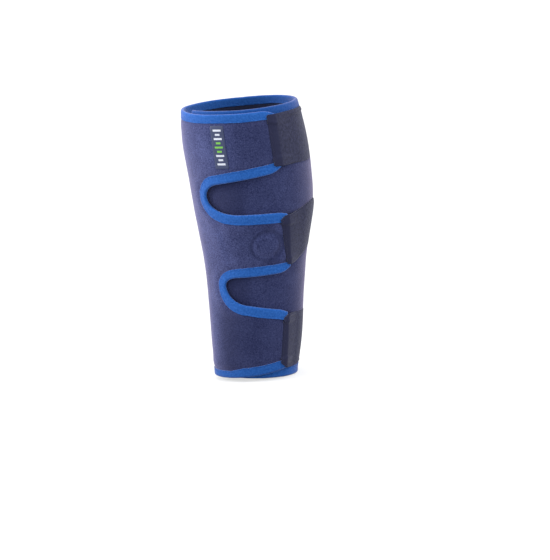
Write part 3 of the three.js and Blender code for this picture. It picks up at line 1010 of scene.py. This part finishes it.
# %% [markdown]
# ## Cloth, tape and foam
# One function makes every cloth finish. The tone of its group picks between a dark and a light yarn
# colour, the height becomes a fine bump, and a sheen on the shader stands for the fuzz that catches
# light along the silhouettes. A finish can also read a number on the vertices that mixes its colour
# towards a darker third: painted light and shade on the navy, and painted shade on tape and hook tape.

# %% Helpers for materials
def linear(red, green, blue):
    """A colour as a screen shows it, 0 to 255, as the linear colour that shaders use."""
    levels = np.array([red, green, blue]) / 255
    straight = np.where(levels <= 0.04045, levels / 12.92, ((levels + 0.055) / 1.055) ** 2.4)
    return (*straight.tolist(), 1.0)


def blend(tree, share, first, second):
    """A colour between two. On the Mix node they are sockets 6 and 7, and the result is 2."""
    return add(tree, "ShaderNodeMix", {0: share, 6: first, 7: second}, data_type="RGBA").outputs[2]


def add_bump(tree, shader, deep, height):
    """A bump on a shader, so many millimetres deep."""
    made = add(tree, "ShaderNodeBump", {"Distance": deep * MM, "Height": height}).outputs["Normal"]
    tree.links.new(made, shader.inputs["Normal"])


def new_material(name, **constants):
    """A material whose Principled BSDF has its constants set on its own sockets."""
    material = bpy.data.materials.new(name)
    material.use_nodes = True
    shader = material.node_tree.nodes["Principled BSDF"]
    for socket, value in constants.items():
        shader.inputs[socket.replace("_", " ")].default_value = value
    return material, material.node_tree, shader


print("a screen grey of 128 is", round(linear(128, 128, 128)[0], 3), "in linear light")

# %% A cloth finish from a group
SMOOTHER_YARN = 0.12


def cloth(name, group, place, sizes, colours, bump, rough, pressed=None, **constants):
    """A cloth finish from a dark and a light yarn colour, and an attribute's painted shade colour."""
    material, tree, shader = new_material(name, **constants)
    yarn = add(tree, "ShaderNodeGroup", node_tree=group)
    tree.links.new(add(tree, "ShaderNodeTexCoord").outputs[place], yarn.inputs[0])
    for socket, value in sizes.items():
        yarn.inputs[socket].default_value = value
    tone = yarn.outputs["Tone"]
    colour = blend(tree, tone, linear(*colours[0]), linear(*colours[1]))
    # The attribute mixes the colour towards the third one, which is painted shade
    if pressed:
        how_far = add(tree, "ShaderNodeAttribute", attribute_name=pressed).outputs["Fac"]
        colour = blend(tree, how_far, colour, linear(*colours[2]))
    tree.links.new(colour, shader.inputs["Base Color"])
    roughness = ramp(tree, tone, (0.0, 1.0), (rough, rough - SMOOTHER_YARN))
    tree.links.new(roughness, shader.inputs["Roughness"])
    add_bump(tree, shader, bump, yarn.outputs["Height"])
    return material


# The third colour is the painted shade colour, mixed in for painted light and shade
loop_cloth = cloth(
    "navy loop cloth", pile, "Object", {"Grain": 850.0, "Cloud": 45.0},
    [(31, 38, 79), (84, 93, 143), (5, 15, 51)], bump=0.22, rough=0.98, pressed="pressed",
    Sheen_Weight=0.72, Sheen_Roughness=0.42, Sheen_Tint=linear(222, 212, 244), Specular_IOR_Level=0.15,
)
lining = cloth(
    "navy lining", ribs, "UV", {"Along": 5200.0, "Across": 2600.0},
    [(26, 30, 52), (40, 45, 74)], bump=0.15, rough=0.9, Specular_IOR_Level=0.2,
)
foam = cloth(
    "black foam edge", pile, "Object", {"Grain": 1500.0, "Cloud": 90.0},
    [(18, 19, 24), (34, 35, 42)], bump=0.2, rough=0.95, Specular_IOR_Level=0.3,
)
for slot, material in enumerate((loop_cloth, lining, foam)):
    panel.data.materials[slot] = material
print("the panel has", ", ".join(material.name for material in panel.data.materials))

# %% Binding knit and hook tape
# The third colour is the painted shade on the rims
blue_tape = cloth(
    "blue binding knit", ribs, "UV", {"Along": 5000.0, "Across": 5600.0},
    [(20, 76, 152), (46, 104, 186), (10, 40, 95)], bump=0.18, rough=0.95, pressed="soiled",
    Sheen_Weight=0.45, Sheen_Roughness=0.4, Sheen_Tint=linear(230, 220, 245), Specular_IOR_Level=0.15,
)
# The third colour is the painted shade at the sewn end
hook_cloth = cloth(
    "charcoal hook tape", ribs, "UV", {"Along": 6300.0, "Across": 6300.0, "Speck": 340.0},
    [(24, 26, 48), (50, 53, 83), (35, 38, 66)], bump=0.15, rough=0.9, pressed="sewn",
    Sheen_Weight=0.36, Sheen_Roughness=0.4, Sheen_Tint=linear(220, 220, 235), Specular_IOR_Level=0.2,
)
for piece in (*tapes.values(), tape_thread):
    piece.data.materials.append(blue_tape)
for piece in (*hook_tabs.values(), hook_thread):
    piece.data.materials.append(hook_cloth)
print("tape:", blue_tape.name, "and", hook_cloth.name)

# %% [markdown]
# ## The printed film
# A transfer film is satin and close to the cloth in colour. Its print is a plain scale: long and short
# white ticks, with green ones in the middle. The film's UV map is its flat size in metres, so each tick
# is a test of how far along and up the film a place lies.

# %% Film with a scale
SCALE = {"pitch": 4.2, "ticks": 9, "green_ticks": 3, "long": 8.6, "short": 5.0}
TICK_SHARE = (0.27, 0.73)
INK_COVERS = 0.92
CRINKLE = 0.06


def between(tree, value, low, high):
    """1 where a value lies between two limits, and 0 elsewhere."""
    above = maths(tree, "GREATER_THAN", value, low)
    return maths(tree, "MULTIPLY", above, maths(tree, "LESS_THAN", value, high))


film, tree, shader = new_material("label film", Roughness=0.5, Specular_IOR_Level=0.35)
film_place = add(tree, "ShaderNodeTexCoord").outputs["UV"]
flat = add(tree, "ShaderNodeSeparateXYZ", {"Vector": film_place})
across = maths(tree, "DIVIDE", flat.outputs["X"], MM)
upward = maths(tree, "DIVIDE", flat.outputs["Y"], MM)
scale_reach = SCALE["pitch"] * SCALE["ticks"] / 2
green_reach = SCALE["pitch"] * SCALE["green_ticks"] / 2
in_pitches = maths(tree, "DIVIDE", maths(tree, "ADD", upward, scale_reach), SCALE["pitch"])
on_tick = between(tree, maths(tree, "FRACT", in_pitches), *TICK_SHARE)
# Every second tick is long
is_long = maths(tree, "LESS_THAN", maths(tree, "FRACT", maths(tree, "DIVIDE", in_pitches, 2.0)), 0.5)
more = maths(tree, "MULTIPLY", is_long, (SCALE["long"] - SCALE["short"]) / 2)
half_tick = maths(tree, "ADD", more, SCALE["short"] / 2)
on_width = maths(tree, "LESS_THAN", maths(tree, "ABSOLUTE", across), half_tick)
on_scale = between(tree, upward, -scale_reach, scale_reach)
ink = maths(tree, "MULTIPLY", maths(tree, "MULTIPLY", on_tick, on_width), on_scale)
green = between(tree, upward, -green_reach, green_reach)
worn = grain(tree, film_place, 900.0, detail=2.0)
ground = blend(tree, worn, linear(50, 58, 90), linear(62, 72, 104))
print_colour = blend(tree, green, linear(214, 219, 232), linear(118, 188, 72))
printed = blend(tree, maths(tree, "MULTIPLY", ink, INK_COVERS), ground, print_colour)
tree.links.new(printed, shader.inputs["Base Color"])
add_bump(tree, shader, CRINKLE, worn)
label.data.materials.append(film)
print("film with a scale of", SCALE["ticks"], "ticks")

# %% [markdown]
# ## What each piece is
# Each piece rides on the part's one body and stands for its solid, which is hidden. The panel, tapes,
# tabs and film are sheets.


def declare(piece, slot, *nodes):
    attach(piece, "root")
    if nodes:
        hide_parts(*nodes)


declare(panel, "neoprene", "neoprene_wrap")
for name, strip in tapes.items():
    declare(strip, "binding_tape", name + "_binding")
for name, tab in hook_tabs.items():
    declare(tab, "hook_tape", name + "_hook_tab")
declare(label, "label_film", "tab_label")
declare(tape_thread, "binding_tape")
declare(hook_thread, "hook_tape")
pieces = (panel, *tapes.values(), *hook_tabs.values(), label, tape_thread, hook_thread)
print("declared", len(pieces), "pieces")

# %% [markdown]
# ## Floor, light and camera
# A white studio gives nearly even light from all round, so the sky does most of the work. Two softboxes
# at the sides make the brushed cloth glow along its silhouettes. The left one has a grid, which keeps
# its light on the support. The floor looks white to the camera but throws back less light than it seems
# to, so the lower part stays as deep in colour as the upper. The camera looks a little down from far
# off, and it is rolled so that the support leans as it is worn.

# %% Floor and light
FLOOR_SIZE, FLOOR_BACK, FLOOR_DROP = 16, 2, 0.0005
FLOOR_LIFT = 0.62
SKY = 1.42
WHITE = (1, 1, 1, 1)

bpy.ops.object.select_all(action="DESELECT")
bpy.ops.mesh.primitive_plane_add(size=FLOOR_SIZE, location=(0, FLOOR_BACK, solid_low.z - FLOOR_DROP))
floor = bpy.context.object
floor.name = "floor"
floor_paint, tree, shader = new_material("pale floor", Roughness=0.9, Base_Color=(0.35, 0.35, 0.35, 1))
shader.inputs["Emission Color"].default_value = WHITE
seen = maths(tree, "MULTIPLY", add(tree, "ShaderNodeLightPath").outputs["Is Camera Ray"], FLOOR_LIFT)
tree.links.new(seen, shader.inputs["Emission Strength"])
floor.data.materials.append(floor_paint)

world = bpy.data.worlds.new("pale sky")
world.use_nodes = True
sky = world.node_tree.nodes["Background"].inputs
sky["Color"].default_value = WHITE
sky["Strength"].default_value = SKY
bpy.context.scene.world = world
bpy.context.scene.view_settings.view_transform = "Standard"


def lamp(name, place, aim, size, watts, spread):
    light = bpy.data.lights.new(name, "AREA")
    light.shape = "RECTANGLE"
    light.size, light.size_y = size
    light.energy = watts
    light.spread = math.radians(spread)
    holder = bpy.data.objects.new(name, light)
    holder.location = place
    holder.rotation_euler = (Vector(aim) - Vector(place)).to_track_quat("-Z", "Y").to_euler()
    bpy.context.scene.collection.objects.link(holder)


lamp("left softbox", (-0.75, 0.1, 0.24), aim=(0, 0, 0.02), size=(0.4, 0.4), watts=0.66, spread=55)
lamp("right softbox", (1.65, -0.3, 0.4), aim=(0, 0, -0.06), size=(0.7, 1.4), watts=5.0, spread=180)

# %% Camera
ELEVATION, ROLL = math.radians(9.5), math.radians(4.3)
DISTANCE = 4.5
FRAME_HIGH_PX = 560
METRES_PER_PX = 0.001
ORIGIN_PX = (252.5, 173.3)
FRAME_CENTRE_PX = (275, 280)

forward = Vector((0, math.cos(ELEVATION), -math.sin(ELEVATION)))
level_right = Vector((1, 0, 0))
level_up = level_right.cross(forward)
right = level_right * math.cos(ROLL) - level_up * math.sin(ROLL)
upright = level_right * math.sin(ROLL) + level_up * math.cos(ROLL)
aim = right * (FRAME_CENTRE_PX[0] - ORIGIN_PX[0]) - upright * (FRAME_CENTRE_PX[1] - ORIGIN_PX[1])
aim *= METRES_PER_PX

eye = bpy.data.cameras.new("camera")
eye.lens = eye.sensor_width * DISTANCE / (FRAME_HIGH_PX * METRES_PER_PX)
camera = bpy.data.objects.new("camera", eye)
turned = Matrix((right, upright, -forward)).transposed()
camera.matrix_world = Matrix.Translation(aim - forward * DISTANCE) @ turned.to_4x4()
bpy.context.scene.collection.objects.link(camera)
bpy.context.scene.camera = camera
print("lens of", round(eye.lens), "mm at", DISTANCE, "m")
